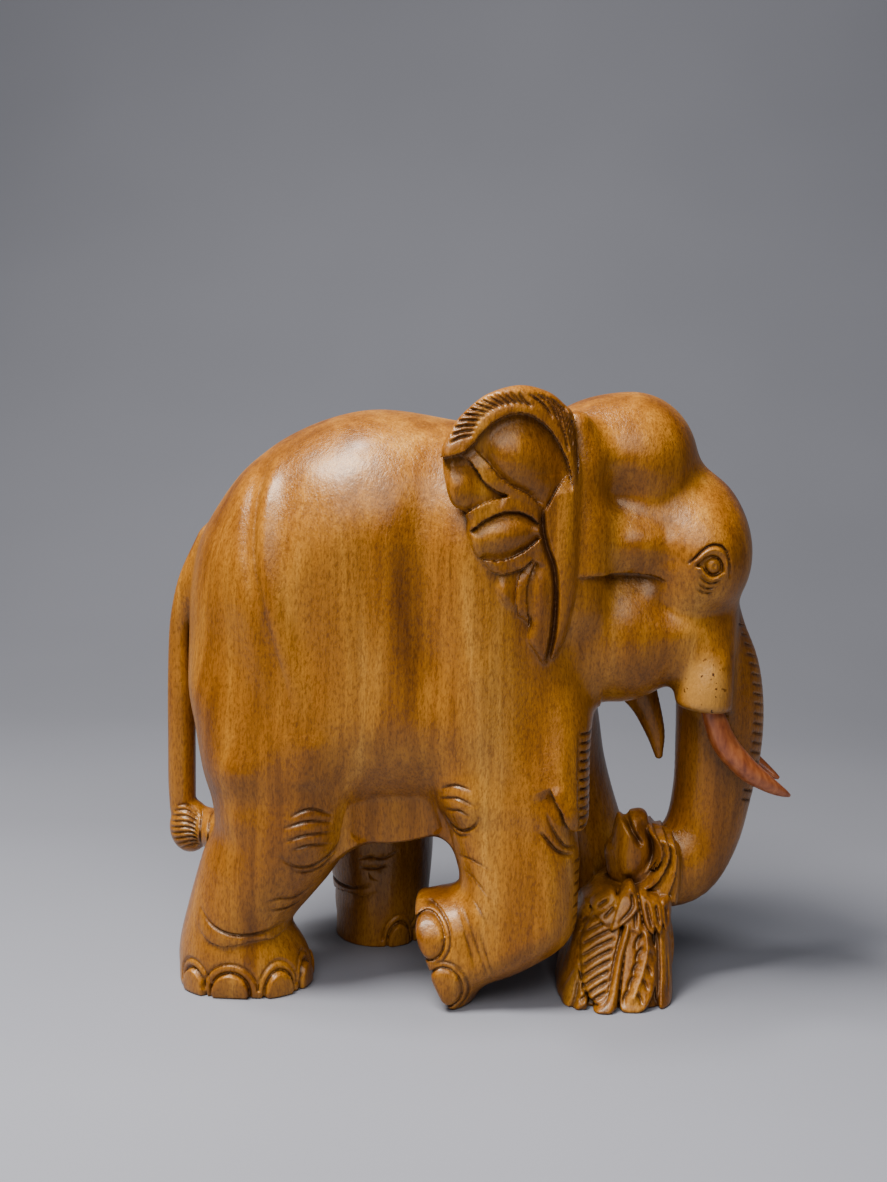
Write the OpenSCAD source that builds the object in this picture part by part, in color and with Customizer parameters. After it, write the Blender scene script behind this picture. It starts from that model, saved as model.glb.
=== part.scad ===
// Carved wooden elephant, walking, with a bunch of leaves in its trunk.
// The carving is one block of wood; the two tusks are separate pegs glued into blind sockets.
// +X is the elephant's front, +Y its left side, and the soles stand on z = 0.

/* [Carving] */
// Height from the soles to the top of the ears
carving_height = 255; // [200:5:320]
// Width across the rear edges of the two ears
ear_span = 132; // [128:1:140]
// Distance between the centre lines of the left and right legs
leg_spacing = 66; // [62:1:70]
// Width of the belly
belly_width = 116; // [108:1:122]
// Thickness of an ear
ear_thickness = 9; // [7:0.5:12]

/* [Tusks] */
// Thickness of a tusk at its fullest point
tusk_thickness = 10.6; // [9:0.2:11.4]
// Diameter of the round tenon behind each tusk
tenon_diameter = 7; // [5:0.5:7.5]
// Length of the tenon
tenon_length = 13; // [8:1:16]
// Gap for glue all round the tenon
glue_gap = 0.1; // [0.1:0.05:0.3]

/* [Leaves] */
// Number of leaves in each ring of the bunch
leaves_in_ring = 12; // [8:1:16]
// Width of one leaf
leaf_width = 15; // [12:1:18]

/* [Hidden] */

// Everything below is laid out for a carving this high, then scaled to carving_height
drawn_height = 255;
carving_scale = carving_height / drawn_height;
// Middle of the laid-out length, moved to x = 0 by place_carving
drawn_centre_x = 1;
wood_colour = [0.62, 0.38, 0.17];
tusk_colour = [0.50, 0.20, 0.10];
blob_sides = 22;
small_blob_sides = 12;
egg_sides = 32;
near_leg_y = -leg_spacing / 2;
far_leg_y = leg_spacing / 2;
ear_rear_y = ear_span / 2;

// Where each tusk leaves its sheath, and the way it points there
tusk_root = [101.5, 25, 121];
tusk_lean = 19;
socket_depth = tenon_length + 1;
// Centre line and relative thickness of a tusk: x, y, z, share of the full thickness
tusk_stations = [
    [101.5, 25, 121, 0.86], [103, 25, 116.5, 0.92], [105.6, 24.8, 110, 0.98], [108.9, 24.5, 104.6, 1],
    [113.3, 23.9, 99.6, 0.98], [118.6, 22.8, 94.5, 0.9], [124.5, 21, 90.3, 0.76],
    [129.8, 18.8, 86.8, 0.56], [134.3, 16.5, 84.2, 0.34], [137.2, 15, 82.5, 0.1]
];
tusk_sides = 20;

// Trunk from the forehead round to its raised tip: x, y, z, radius
trunk_stations = [
    [95, 0, 168, 17], [101, 0, 150, 16.5], [106, 0, 134, 18], [107.5, 0, 118, 18.8], [107.5, 0, 100, 18.5],
    [105.5, 0, 80, 17], [101.5, -1, 62, 16.5], [93, -4, 49, 17], [83, -7, 44, 14], [73, -9, 46, 11.5],
    [68, -9, 56, 8.5], [69, -9, 66, 6]
];

// Tail from the rump down to the tuft: x, z, radius
tail_stations = [
    [-123, 163, 9], [-128, 147, 6.5], [-129, 128, 6.3], [-128.5, 105, 6.6], [-128.5, 84, 6.6], [-129, 70, 6]
];

// Outline of an ear seen from the side: x, z
ear_outline = [
    [18, 255], [4, 250], [-7, 239], [-12, 226], [-9, 209], [-1, 198], [3, 186], [9, 177],
    [15, 166], [24, 156], [31, 144], [37, 151], [43, 173], [41, 215], [40, 243], [30, 252]
];
ear_root_x = 42;
ear_root_y = 42;
ear_slope = (ear_rear_y - ear_thickness / 2 - ear_root_y) / (ear_root_x + 12);

// An ellipsoid at centre with half sizes radii
module blob(centre, radii, sides = blob_sides) {
    translate(centre) scale(radii) sphere(r = 1, $fn = sides);
}

// An egg: an ellipsoid whose upper half rises further than its lower half drops
module egg(centre, radius_x, radius_y, rise, drop) {
    translate(centre) {
        intersection() {
            scale([radius_x, radius_y, rise]) sphere(r = 1, $fn = egg_sides);
            translate([-200, -200, 0]) cube([400, 400, 400]);
        }
        intersection() {
            scale([radius_x, radius_y, drop]) sphere(r = 1, $fn = egg_sides);
            translate([-200, -200, -400]) cube([400, 400, 400]);
        }
    }
}

// Neighbouring balls of a chain of [x, y, z, radius] joined in pairs
module chain(stations) {
    for (i = [0 : len(stations) - 2]) hull() {
        for (s = [stations[i], stations[i + 1]])
            translate([s[0], s[1], s[2]]) sphere(r = s[3], $fn = small_blob_sides);
    }
}

module torso() {
    half_belly = belly_width / 2;
    hull() {
        egg([-44, 0, 150], 80, half_belly, 93, 90);
        egg([8, 0, 150], 44, half_belly - 5, 88, 80);
    }
}

module head() {
    // Neck into the domed crown
    hull() {
        blob([28, 0, 190], [34, 42, 50]);
        blob([69, 0, 221], [27, 33, 31.5]);
    }
    // Crown down to the brow
    hull() {
        blob([74, 0, 212], [22, 30, 30]);
        blob([91, 0, 184], [28, 36, 30]);
    }
    // Cheeks and jaw
    hull() {
        blob([34, 0, 165], [30, 40, 42]);
        blob([62, 0, 152], [30, 37, 30]);
        blob([91, 0, 176], [26, 33, 27]);
    }
    // Pointed lower lip
    hull() {
        blob([76, 0, 124], [7, 9, 6], small_blob_sides);
        blob([82, 0, 97], [2.5, 4, 4], small_blob_sides);
    }
}

// Swelling on one side of the trunk that holds a tusk
module tusk_sheath() {
    hull() {
        blob([101, 20, 150], [13, 14, 14], small_blob_sides);
        translate(tusk_root) rotate([0, 180 - tusk_lean, 0]) translate([0, 0, -13])
            cylinder(r = 9.5, h = 13, $fn = 24);
    }
}

module ear() {
    multmatrix([
        [1, 0, 0, 0],
        [-ear_slope, 1, 0, ear_root_y + ear_slope * ear_root_x],
        [0, 0, 1, 0],
        [0, 0, 0, 1]
    ])
    rotate([90, 0, 0]) linear_extrude(ear_thickness, center = true)
        offset(r = 3, $fn = 24) offset(delta = -3) polygon(ear_outline);
    // Fillet of wood between the ear and the neck
    hull() {
        blob([36, 36, 205], [12, 10, 42]);
        blob([22, 34, 205], [14, 14, 34]);
    }
}

module near_hind_leg() {
    hull() {
        blob([-78, near_leg_y + 4, 112], [39, 25, 46]);
        blob([-80, near_leg_y, 60], [28, 25, 22]);
    }
    hull() {
        blob([-80, near_leg_y, 60], [28, 25, 22]);
        blob([-95, near_leg_y, 33], [23, 24, 14]);
    }
    hull() {
        blob([-95, near_leg_y, 33], [23, 24, 14]);
        blob([-94, near_leg_y, 12], [28, 25.5, 15]);
    }
}

module far_hind_leg() {
    hull() {
        blob([-56, far_leg_y - 4, 105], [36, 25, 42]);
        blob([-45, far_leg_y, 55], [24, 24, 20]);
    }
    hull() {
        blob([-45, far_leg_y, 55], [24, 24, 20]);
        blob([-42.5, far_leg_y, 12], [23, 25.5, 15]);
    }
}

// The near foreleg is lifted: its foot points back and only the toe reaches the ground
module near_fore_leg() {
    hull() {
        blob([18, near_leg_y + 9, 124], [32, 23, 45]);
        blob([22, near_leg_y - 2, 72], [27, 25, 26]);
    }
    hull() {
        blob([22, near_leg_y - 2, 72], [27, 25, 26]);
        blob([26, near_leg_y - 4, 40], [21, 24, 22]);
    }
    hull() {
        blob([26, near_leg_y - 4, 40], [21, 24, 22]);
        translate([-12, near_leg_y - 8, 21]) rotate([0, -14, 0])
            scale([5, 25, 23]) sphere(r = 1, $fn = blob_sides);
    }
}

module far_fore_leg() {
    hull() {
        blob([26, far_leg_y - 9, 120], [27, 22, 45]);
        blob([44, far_leg_y, 62], [21, 23, 26]);
    }
    hull() {
        blob([44, far_leg_y, 62], [21, 23, 26]);
        blob([60, far_leg_y + 1, 12], [24, 25, 15]);
    }
}

module tail() {
    chain([for (s = tail_stations) [s[0], 0, s[1], s[2]]]);
    // Tuft, and the tie that holds it against the hind leg
    hull() {
        blob([-127, 0, 60], [8.5, 8.5, 9.5], small_blob_sides);
        blob([-126, 0, 53], [8.5, 8.5, 9], small_blob_sides);
        blob([-117, -2, 57], [7, 8, 10.5], small_blob_sides);
    }
    hull() {
        blob([-117, -2, 57], [6, 8, 10], small_blob_sides);
        blob([-104, -20, 58], [6, 7, 9], small_blob_sides);
    }
}

module trunk() {
    chain(trunk_stations);
}

// Bunch of leaves hanging from the trunk to the ground, with two rings of leaf blades
module leaf_bunch() {
    centre = [63, -20];
    hull() {
        blob([centre[0] + 8, centre[1] + 8, 50], [13, 16, 8], small_blob_sides);
        blob([centre[0], centre[1], 12], [21, 35, 16]);
    }
    for (i = [0 : leaves_in_ring - 1]) {
        turn = i * 360 / leaves_in_ring;
        translate([centre[0] + 19 * cos(turn), centre[1] + 34 * sin(turn), 12]) rotate([0, 0, turn])
            rotate([0, -8, 0]) scale([4, leaf_width / 2, 19]) sphere(r = 1, $fn = small_blob_sides);
        translate([centre[0] + 5 + 14 * cos(turn + 15), centre[1] + 5 + 22 * sin(turn + 15), 36])
            rotate([0, 0, turn + 15]) rotate([0, -18, 0])
                scale([4, leaf_width / 2, 15]) sphere(r = 1, $fn = small_blob_sides);
    }
}

// Scales the layout to the real height and centres its length
module place_carving() {
    scale(carving_scale) translate([-drawn_centre_x, 0, 0]) children();
}

module tusk_socket() {
    translate(tusk_root) rotate([0, 180 - tusk_lean, 0]) translate([0, 0, -socket_depth])
        cylinder(d = tenon_diameter + 2 * glue_gap, h = socket_depth + 2, $fn = 32);
}

module carved_body() {
    color(wood_colour) place_carving() difference() {
        union() {
            torso();
            head();
            for (side = [-1, 1]) scale([1, side, 1]) {
                ear();
                tusk_sheath();
            }
            trunk();
            tail();
            near_hind_leg();
            far_hind_leg();
            near_fore_leg();
            far_fore_leg();
            leaf_bunch();
        }
        // Flat soles
        translate([-200, -100, -50]) cube([400, 200, 50]);
        for (side = [-1, 1]) scale([1, side, 1]) tusk_socket();
    }
}

// One ring of points round station i of the tusk, square to its centre line
function tusk_ring(i) =
    let (
        last = len(tusk_stations) - 1,
        here = tusk_stations[i],
        before = tusk_stations[max(i - 1, 0)],
        after = tusk_stations[min(i + 1, last)],
        along = [for (k = [0 : 2]) after[k] - before[k]],
        unit_along = along / norm(along),
        across = cross(unit_along, [0, 1, 0]) / norm(cross(unit_along, [0, 1, 0])),
        aside = cross(unit_along, across),
        radius = here[3] * tusk_thickness / 2
    )
    [for (k = [0 : tusk_sides - 1])
        let (turn = k * 360 / tusk_sides)
        [here[0], here[1], here[2]] + radius * (cos(turn) * across + sin(turn) * aside)];

module tusk_blade() {
    rings = len(tusk_stations);
    points = [for (i = [0 : rings - 1]) each tusk_ring(i)];
    sides = [for (i = [0 : rings - 2], k = [0 : tusk_sides - 1])
        let (next = (k + 1) % tusk_sides, low = i * tusk_sides, high = low + tusk_sides)
        [low + k, high + k, high + next, low + next]];
    root_face = [for (k = [0 : tusk_sides - 1]) k];
    tip_face = [for (k = [tusk_sides - 1 : -1 : 0]) (rings - 1) * tusk_sides + k];
    polyhedron(points, concat([root_face], sides, [tip_face]), convexity = 4);
}

module tusk(side) {
    color(tusk_colour) place_carving() scale([1, side, 1]) {
        tusk_blade();
        translate(tusk_root) rotate([0, 180 - tusk_lean, 0]) translate([0, 0, -tenon_length])
            cylinder(d = tenon_diameter, h = tenon_length + 1);
    }
}

module right_tusk() { tusk(-1); }
module left_tusk() { tusk(1); }

carved_body();
right_tusk();
left_tusk();
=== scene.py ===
"""Carved wooden elephant: the detailed carving, its two tusks, a floor, lights and a camera.

The shapes are drawn in millimetres for a carving 255 mm high, in the CAD frame: x towards the
elephant's face, y towards its left side, z up. MM turns a drawn millimetre into metres.
"""
import math

import bmesh
import bpy
import numpy as np
from mathutils import Matrix, Vector


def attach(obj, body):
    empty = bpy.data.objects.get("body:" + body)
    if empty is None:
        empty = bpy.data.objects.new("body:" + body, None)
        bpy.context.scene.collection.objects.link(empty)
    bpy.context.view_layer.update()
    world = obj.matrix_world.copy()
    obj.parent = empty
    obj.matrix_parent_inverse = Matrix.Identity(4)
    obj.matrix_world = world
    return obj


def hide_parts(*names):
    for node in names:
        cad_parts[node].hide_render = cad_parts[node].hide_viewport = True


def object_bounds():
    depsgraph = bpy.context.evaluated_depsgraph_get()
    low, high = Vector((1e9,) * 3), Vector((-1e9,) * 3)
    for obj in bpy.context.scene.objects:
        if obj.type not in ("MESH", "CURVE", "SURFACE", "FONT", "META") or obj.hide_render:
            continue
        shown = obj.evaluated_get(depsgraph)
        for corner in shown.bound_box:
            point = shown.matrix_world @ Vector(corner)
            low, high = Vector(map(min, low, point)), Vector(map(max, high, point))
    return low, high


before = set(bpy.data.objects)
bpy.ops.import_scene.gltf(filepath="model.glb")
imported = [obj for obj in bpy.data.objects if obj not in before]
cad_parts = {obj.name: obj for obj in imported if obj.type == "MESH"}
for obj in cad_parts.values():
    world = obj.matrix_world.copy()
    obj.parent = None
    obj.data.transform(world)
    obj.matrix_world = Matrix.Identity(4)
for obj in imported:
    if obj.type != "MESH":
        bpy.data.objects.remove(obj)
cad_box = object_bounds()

DRAWN_HEIGHT = 255.0
CAD_LOW, CAD_HIGH = [[float(v) for v in corner] for corner in cad_box]
MM = (CAD_HIGH[2] - CAD_LOW[2]) / DRAWN_HEIGHT
VOXEL = 0.5
# The most triangles that the finished carving may have
TRIANGLES = 330000
# The drawn x that the CAD puts at its centre
DRAWN_CENTRE_X = 1.0
# The near legs are the elephant's right ones, which face the camera
NEAR_LEG_Y, FAR_LEG_Y = -33.0, 33.0
# The field's value where nothing has been added yet, and how far a shape's field is worked out round it
EMPTY, MARGIN = 40, 3


def to_world(points):
    """Drawn mm to metres in the CAD frame."""
    return (np.asarray(points, float) - (DRAWN_CENTRE_X, 0, 0)) * MM


# ---------------------------------------------------------------- a block of wood to carve

def smooth_min(a, b, blend):
    """The nearer of two distances, rounded over where they are within blend of each other."""
    if blend <= 0:
        return np.minimum(a, b)
    share = np.clip(0.5 + 0.5 * (b - a) / blend, 0, 1)
    return b + (a - b) * share - blend * share * (1 - share)


class Block:
    """A block as a field of distances in drawn mm, negative inside the wood."""

    def __init__(self, low, high, voxel):
        self.voxel = voxel
        self.axes = [np.arange(l, h + voxel, voxel, dtype=np.float32) for l, h in zip(low, high)]
        self.field = np.full([len(a) for a in self.axes], EMPTY, np.float32)
        # Side-view reliefs of the right side, the left side and the ears, kept for the painted shade in their
        # cuts
        self.near = self.far = self.ear_relief = None

    def window(self, low, high, margin):
        """The part of the block between two corners, and its coordinates."""
        spans = []
        for axis, l, h in zip(self.axes, low, high):
            first = int(np.searchsorted(axis, l - margin))
            last = int(np.searchsorted(axis, h + margin))
            spans.append(slice(first, max(last, first + 1)))
        x, y, z = [axis[span] for axis, span in zip(self.axes, spans)]
        return tuple(spans), x[:, None, None], y[None, :, None], z[None, None, :]

    def add(self, shape, blend=0.0):
        """Join a shape on, rounded over blend mm; a shape is its two corners and its distance function."""
        low, high, distance = shape
        spans, x, y, z = self.window(low, high, blend + MARGIN)
        self.field[spans] = smooth_min(self.field[spans], distance(x, y, z), blend)


def ball(centre, radii, tilt=0.0):
    """An ellipsoid, tilted in the side view by so many degrees."""
    reach = max(radii)
    low = [c - reach for c in centre]
    high = [c + reach for c in centre]
    cos, sin = math.cos(math.radians(tilt)), math.sin(math.radians(tilt))

    def distance(x, y, z):
        dx, dy, dz = x - centre[0], y - centre[1], z - centre[2]
        px = (dx * cos + dz * sin) / radii[0]
        py = dy / radii[1]
        pz = (dz * cos - dx * sin) / radii[2]
        size = np.sqrt(px * px + py * py + pz * pz)
        slope = np.sqrt((px / radii[0]) ** 2 + (py / radii[1]) ** 2 + (pz / radii[2]) ** 2)
        return size * (size - 1) / (slope + 1e-6)
    return low, high, distance


def curve(points, closed=False, steps=6):
    """A smooth curve through points of any dimension."""
    points = np.array(points, float)
    count = len(points)
    spans = count if closed else count - 1
    out = []
    for i in range(spans):
        if closed:
            a, b, c, d = [points[(i + k) % count] for k in (-1, 0, 1, 2)]
        else:
            b, c = points[i], points[i + 1]
            a = points[i - 1] if i else 2 * b - c
            d = points[i + 2] if i + 2 < count else 2 * c - b
        for t in np.arange(steps) / steps:
            out.append(0.5 * (2 * b + (c - a) * t + (2 * a - 5 * b + 4 * c - d) * t * t
                              + (3 * b - a - 3 * c + d) * t ** 3))
    if not closed:
        out.append(points[-1])
    return np.array(out)


def sweep(stations, flat=1.0):
    """A round bar along smooth stations of x, y, z, radius; flat is its width over its height."""
    path = curve(stations, steps=5)
    low = (path[:, :3] - path[:, 3:]).min(axis=0)
    high = (path[:, :3] + path[:, 3:]).max(axis=0)

    def distance(x, y, z):
        nearest = None
        for (ax, ay, az, ar), (bx, by, bz, br) in zip(path, path[1:]):
            ex, ey, ez = bx - ax, (by - ay) / flat, bz - az
            dx, dy, dz = x - ax, (y - ay) / flat, z - az
            t = np.clip((dx * ex + dy * ey + dz * ez) / (ex * ex + ey * ey + ez * ez), 0, 1)
            gap = np.sqrt((dx - t * ex) ** 2 + (dy - t * ey) ** 2 + (dz - t * ez) ** 2)
            gap = gap - (ar + (br - ar) * t)
            nearest = gap if nearest is None else np.minimum(nearest, gap)
        return nearest
    return low, high, distance


def inside_depth(x, z, outline):
    """How far each point of the side view lies inside a closed outline; negative outside."""
    nearest = np.full((x.size, z.size), 1e9, np.float32)
    inside = np.zeros((x.size, z.size), bool)
    for (ax, az), (bx, bz) in zip(outline, np.roll(outline, -1, axis=0)):
        ex, ez = bx - ax, bz - az
        t = np.clip(((x - ax) * ex + (z - az) * ez) / (ex * ex + ez * ez + 1e-9), 0, 1)
        nearest = np.minimum(nearest, (x - ax - t * ex) ** 2 + (z - az - t * ez) ** 2)
        if az != bz:
            inside ^= ((az > z) != (bz > z)) & (x < ax + ex * (z - az) / ez)
    return np.sqrt(nearest) * np.where(inside, 1, -1)


def soften(picture, cells):
    """Blur a side-view map over about so many cells."""
    cells = max(int(round(cells)), 1)
    kernel = np.hanning(2 * cells + 3)[1:-1]
    kernel = (kernel / kernel.sum()).astype(np.float32)
    for axis in (0, 1):
        padded = np.pad(picture, [(cells, cells) if k == axis else (0, 0) for k in (0, 1)], "edge")
        size = picture.shape[axis]
        picture = sum(w * np.take(padded, range(i, i + size), axis) for i, w in enumerate(kernel))
    return picture


def pillow(points, centre_y, half_width, rounding, soft=2.0):
    """A closed side-view outline filled out sideways, its edges rounded over `rounding` mm."""
    outline = curve(points, closed=True)
    low = [outline[:, 0].min(), centre_y - half_width, outline[:, 1].min()]
    high = [outline[:, 0].max(), centre_y + half_width, outline[:, 1].max()]

    def distance(x, y, z):
        depth = inside_depth(x[:, :, 0], z[0], outline)
        depth = soften(depth, soft / VOXEL)[:, None, :].astype(np.float32)
        edge = np.maximum(rounding - depth, 0) / rounding
        side = np.abs(y - centre_y) / half_width
        size = np.sqrt(edge * edge + side * side)
        slope = np.sqrt((edge / rounding) ** 2 + (side / half_width) ** 2)
        return size * (size - 1) / (slope + 1e-6)
    return low, high, distance


# ---------------------------------------------------------------- the masses of the carving

def torso(block):
    """The barrel, and the flap that hangs under it."""
    block.add(pillow([(-114, 100), (-118, 122), (-121, 145), (-123, 165), (-119, 186), (-112, 200),
                      (-102, 214), (-89, 226), (-76, 234), (-61, 240), (-46, 243), (-30, 242.5),
                      (-8, 239), (15, 236), (38, 226), (50, 200), (52, 165), (50, 120), (38, 84),
                      (10, 70), (-25, 67), (-60, 66), (-92, 70), (-108, 84)], 0, 57, 54, soft=6))
    block.add(pillow([(-60, 95), (-52, 70), (-47, 63), (-36, 60.5), (-22, 62), (-10, 67), (0, 80),
                      (0, 100)], 0, 41, 4, soft=1), 1.5)


def leaning(shape, side, inward, start, finish, outward=0.0):
    """A leg whose upper part leans in towards the body and whose foot swings out, in mm."""
    low, high, distance = shape

    def leaned(x, y, z):
        rise = np.clip((z - start) / (finish - start), 0, 1)
        swing = outward * np.clip((75 - z) / 60, 0, 1)
        return distance(x, y + side * (inward * rise * rise * (3 - 2 * rise) - swing), z)
    low, high = list(low), list(high)
    low[1] -= inward + outward
    high[1] += inward + outward
    return low, high, leaned


def hind_legs(block):
    """The hind legs: the near one back, the far one forward."""
    near = pillow([(-118, 130), (-114, 108), (-111, 92), (-107.5, 79), (-107, 68), (-111.5, 57),
                   (-114.5, 47), (-118.5, 32), (-121.5, 19), (-122, 9), (-120, -6), (-108, -16),
                   (-80, -16), (-68, -6), (-65.5, 4), (-67.5, 14), (-73.5, 25), (-72, 30),
                   (-65.5, 38), (-57.5, 48), (-51, 59), (-49, 70), (-49, 95), (-50, 130),
                   (-60, 160), (-85, 178), (-110, 160)], NEAR_LEG_Y, 25, 24)
    block.add(leaning(near, -1, 20, 85, 165), 16)
    far = pillow([(-80, 130), (-76, 110), (-72, 80), (-68, 55), (-66, 35), (-63, 10), (-60, -16),
                  (-27, -16), (-22, 4), (-20, 22), (-18.5, 42), (-19, 60), (-22, 90),
                  (-28, 130), (-50, 160)], FAR_LEG_Y, 24, 20)
    block.add(leaning(far, 1, 16, 85, 155), 14)


def fore_legs(block):
    """The forelegs: the near one lifted on its toe, the far one planted in front."""
    near = pillow([(-14, 130), (-12, 105), (-11, 84), (-8, 70), (-4.5, 59), (-2.5, 51),
                   (-4, 46), (-12, 43.8), (-26, 40.5), (-38, 34), (-36, 12), (-24, -14),
                   (-6, -15), (1.5, -8), (5, -1), (8, 4), (12, 7.2), (17, 9), (24, 12), (32, 16.5), (39, 21),
                   (44, 26), (47, 33), (47.5, 45), (47.8, 58), (47.3, 67), (48.6, 72), (50.6, 77), (51, 88),
                   (51, 101), (50.5, 126), (40, 158), (14, 168)], NEAR_LEG_Y - 1, 22.5, 15)
    low, high, leg = leaning(near, -1, 13, 78, 150, outward=7.5)

    def lifted_leg(x, y, z):
        # The foot ends in a slightly hollow sole that faces back
        sole_edge = -21.3 + 16.5 * (np.clip(46 - z, 0, 46) / 46) ** 1.5
        return -smooth_min(-leg(x, y, z), (x - sole_edge) * 0.95, 3.5)
    block.add((low, high, lifted_leg), 12)
    far = pillow([(0, 130), (8, 95), (20, 64), (32, 42), (37, 20), (36, 0), (40, -16),
                  (80, -16), (86, 0), (86, 12), (82, 26), (74, 45), (67, 62), (60, 86),
                  (56, 110), (50, 140), (25, 160)], FAR_LEG_Y + 1, 24, 20)
    block.add(leaning(far, 1, 13, 78, 150), 10)


def trimmed(shape, place, normal, blend=1.0):
    """A shape cut off flat beyond a plane through place that faces along normal."""
    low, high, distance = shape
    normal = np.array(normal, float) / np.linalg.norm(normal)

    def cut_off(x, y, z):
        beyond = (x - place[0]) * normal[0] + (y - place[1]) * normal[1] + (z - place[2]) * normal[2]
        return -smooth_min(-distance(x, y, z), -beyond, blend)
    return low, high, cut_off


def head(block):
    """Brow, crown, cheeks, jaw and neck, and the wood that joins them."""
    block.add(ball((30, 0, 188), (32, 43, 50)), 14)
    block.add(ball((66, 0, 222), (28.5, 33, 30.5)), 10)
    block.add(ball((50, 0, 222), (24, 34, 27)), 8)
    block.add(ball((64, 0, 190), (34, 38, 20)), 12)
    block.add(ball((34, 0, 160), (28, 39, 36)), 10)
    block.add(ball((96, 0, 194), (18, 22, 25)), 12)
    for side in (-1, 1):
        block.add(ball((95, side * 15, 184), (21.5, 23, 26)), 12)
        block.add(ball((61, side * 16, 150.5), (30, 23, 28.5)), 10)
        # Wood that joins the cheek, the brow and the tusk sheath
        block.add(ball((88, side * 15, 157), (15, 18, 21)), 12)
        # Wood that joins the front of the ear to the neck
        block.add(sweep([(42, side * 34, 238, 6.5), (46, side * 35, 218, 8.5), (47, side * 36, 192, 9),
                         (44, side * 36, 165, 8)]), 9)
    # Lower lip
    block.add(sweep([(68, 0, 131, 10), (75, 0, 119, 6.5), (80, 0, 106, 4.2), (82, 0, 95.5, 1.8)]), 5)


def trunk(block):
    """The trunk, curling back at its lower end, and the two sheaths that hold the tusks."""
    block.add(sweep([(95, 0, 168, 17), (101, 0, 150, 16.5), (105.8, 0, 134, 18), (107.5, 0, 118, 18.8),
                     (107.5, 0, 100, 18.5), (105.5, 0, 80, 17), (101.5, -1, 62, 16.5),
                     (93, -4, 49, 17), (83, -7, 44, 14), (73, -9, 46, 11.5), (68, -9, 54, 9)],
                    flat=0.92), 6)
    for side in (-1, 1):
        sheath = sweep([(102, side * 12, 162, 8), (101, side * 17.5, 150, 10), (99.3, side * 22, 138, 11.3),
                        (98.3, side * 24.5, 127, 11.9), (97.2, side * 25.5, 112, 12.2)])
        block.add(trimmed(sheath, (98, side * 25, 121.3), (-0.1, 0, -1), 4), 9)


def tail(block):
    """The tail, its tuft, and the peg of wood that ties the tuft to the near leg."""
    block.add(sweep([(-113, 0, 184, 9), (-121.5, 0, 168, 8), (-127, 0, 154, 6), (-129.3, 0, 141, 5.0),
                     (-128.9, 0, 118, 6.0), (-128.8, 0, 95, 6.1), (-128.8, 0, 78, 6.1),
                     (-128.5, 0, 66, 5.8)]), 3)
    block.add(ball((-125, 0, 57), (9.3, 9, 12)), 2)
    block.add(sweep([(-117, -1, 57, 8.5), (-112, -9, 57, 8), (-104, -20, 58, 7.5)]), 2)


# ---------------------------------------------------------------- carving cuts seen from the side

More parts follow.
